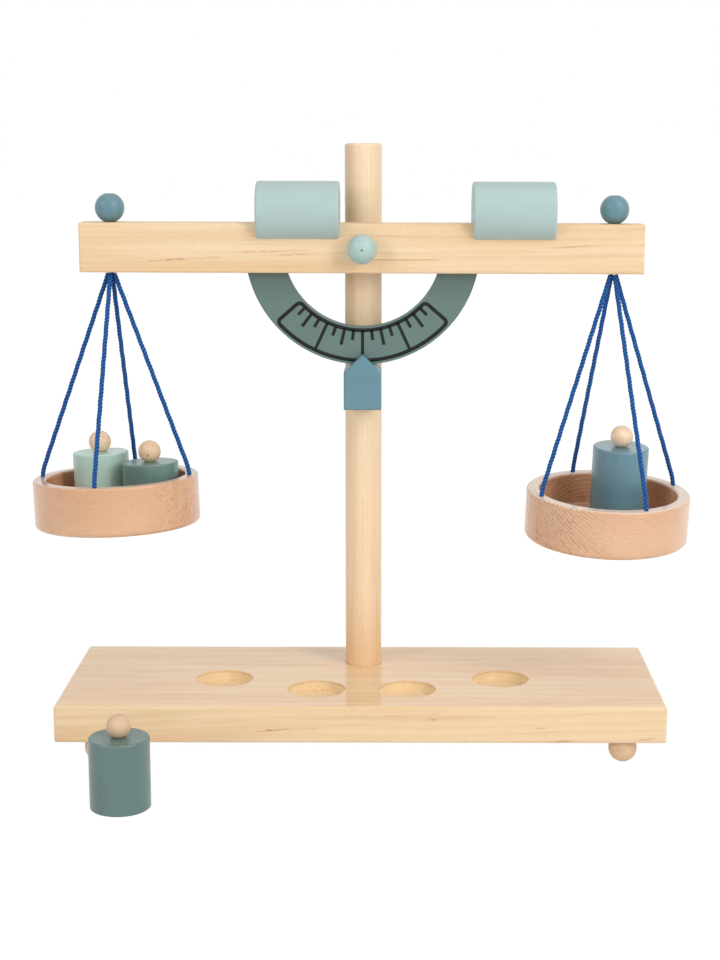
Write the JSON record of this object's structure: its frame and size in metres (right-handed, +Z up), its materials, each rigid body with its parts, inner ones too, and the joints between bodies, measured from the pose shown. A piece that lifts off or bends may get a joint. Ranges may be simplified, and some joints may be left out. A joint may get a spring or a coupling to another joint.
{
  "type": "wooden balance scale toy",
  "caption": "Beam scale for a child's shop: a post on a footed board, a tilting beam with a dial, two hanging pans, riders and weights.",
  "frame": {"origin": "on the floor under the middle of the base board", "axes": "+X to the right of someone facing the dial, +Y away from them, +Z up"},
  "size_m": [0.3528, 0.1875, 0.321],
  "materials": {
    "lacquered_board": "clear satin lacquer on pine",
    "pine": "sanded pine",
    "bare_wood": "turned bare wood",
    "beech": "turned beech, oiled",
    "light_mint": "satin paint on wood",
    "slate_blue": "satin paint on wood",
    "sea_green": "satin paint on wood",
    "pointer_blue": "satin paint on wood",
    "ink": "printed ink",
    "cord": "braided cord",
    "mint": "satin paint on wood",
    "green": "satin paint on wood",
    "blue": "satin paint on wood",
    "grey_green": "satin paint on wood"
  },
  "bodies": {
    "stand": {"base_board": "lacquered_board", "foot_front_left": "bare_wood", "foot_front_right": "bare_wood", "foot_back_left": "bare_wood", "foot_back_right": "bare_wood", "post": "pine", "pointer": "pointer_blue", "pivot_pin": "bare_wood", "pivot_spacer": "bare_wood", "pivot_bead": "light_mint"},
    "beam": {"beam": "pine", "dial": "sea_green", "dial_scale": "ink", "left_bead": "slate_blue", "right_bead": "slate_blue", "left_cord_stem": "cord", "right_cord_stem": "cord"},
    "left_rider": {"left_rider": "light_mint"},
    "right_rider": {"right_rider": "light_mint"},
    "left_hanger": {"left_knot": "cord"},
    "right_hanger": {"right_knot": "cord"},
    "left_pan": {"left_pan": "beech", "left_cord_right": "cord", "left_cord_back": "cord", "left_cord_left": "cord", "left_cord_front": "cord"},
    "right_pan": {"right_pan": "beech", "right_cord_back_right": "cord", "right_cord_back_left": "cord", "right_cord_front_left": "cord", "right_cord_front_right": "cord"},
    "mint_weight": {"mint_weight": "mint", "mint_knob": "bare_wood"},
    "green_weight": {"green_weight": "green", "green_knob": "bare_wood"},
    "blue_weight": {"blue_weight": "blue", "blue_knob": "bare_wood"},
    "grey_weight": {"grey_weight": "grey_green", "grey_knob": "bare_wood"}
  },
  "joints": [
    {"name": "beam_tilt", "type": "hinge", "parent": "stand", "child": "beam", "pos_m": [0, -0.001, 0.267], "axis": [0, 1, 0], "range_deg": [-25, 25]},
    {"name": "left_rider_slide", "type": "slide", "parent": "beam", "child": "left_rider", "axis": [1, 0, 0], "range_m": [-0.0675, 0.012]},
    {"name": "right_rider_slide", "type": "slide", "parent": "beam", "child": "right_rider", "axis": [1, 0, 0], "range_m": [-0.0565, 0.0225]},
    {"name": "left_pan_level", "type": "hinge", "parent": "beam", "child": "left_hanger", "pos_m": [-0.1325, -0.001, 0.256], "axis": [0, 1, 0], "range_deg": [-25, 25]},
    {"name": "left_pan_swing", "type": "hinge", "parent": "left_hanger", "child": "left_pan", "pos_m": [-0.1325, -0.001, 0.256], "axis": [1, 0, 0], "range_deg": [-12, 12]},
    {"name": "right_pan_level", "type": "hinge", "parent": "beam", "child": "right_hanger", "pos_m": [0.1325, -0.001, 0.256], "axis": [0, 1, 0], "range_deg": [-25, 25]},
    {"name": "right_pan_swing", "type": "hinge", "parent": "right_hanger", "child": "right_pan", "pos_m": [0.1325, -0.001, 0.256], "axis": [1, 0, 0], "range_deg": [-12, 12]},
    {"name": "mint_weight_lift", "type": "slide", "parent": "left_pan", "child": "mint_weight", "axis": [0, 0, 1], "range_m": [0, 0.02]},
    {"name": "green_weight_lift", "type": "slide", "parent": "left_pan", "child": "green_weight", "axis": [-0.3071, -0.6334, 0.7102], "range_m": [0, 0.0285]},
    {"name": "blue_weight_lift", "type": "slide", "parent": "right_pan", "child": "blue_weight", "axis": [0, 0, 1], "range_m": [0, 0.022]},
    {"name": "grey_weight_lift", "type": "slide", "parent": "stand", "child": "grey_weight", "axis": [0, 0, 1], "range_m": [0, 0.06]}
  ],
  "couplings": [
    {"joint": "left_pan_level", "follows": "beam_tilt", "ratio": -1},
    {"joint": "right_pan_level", "follows": "beam_tilt", "ratio": -1}
  ]
}
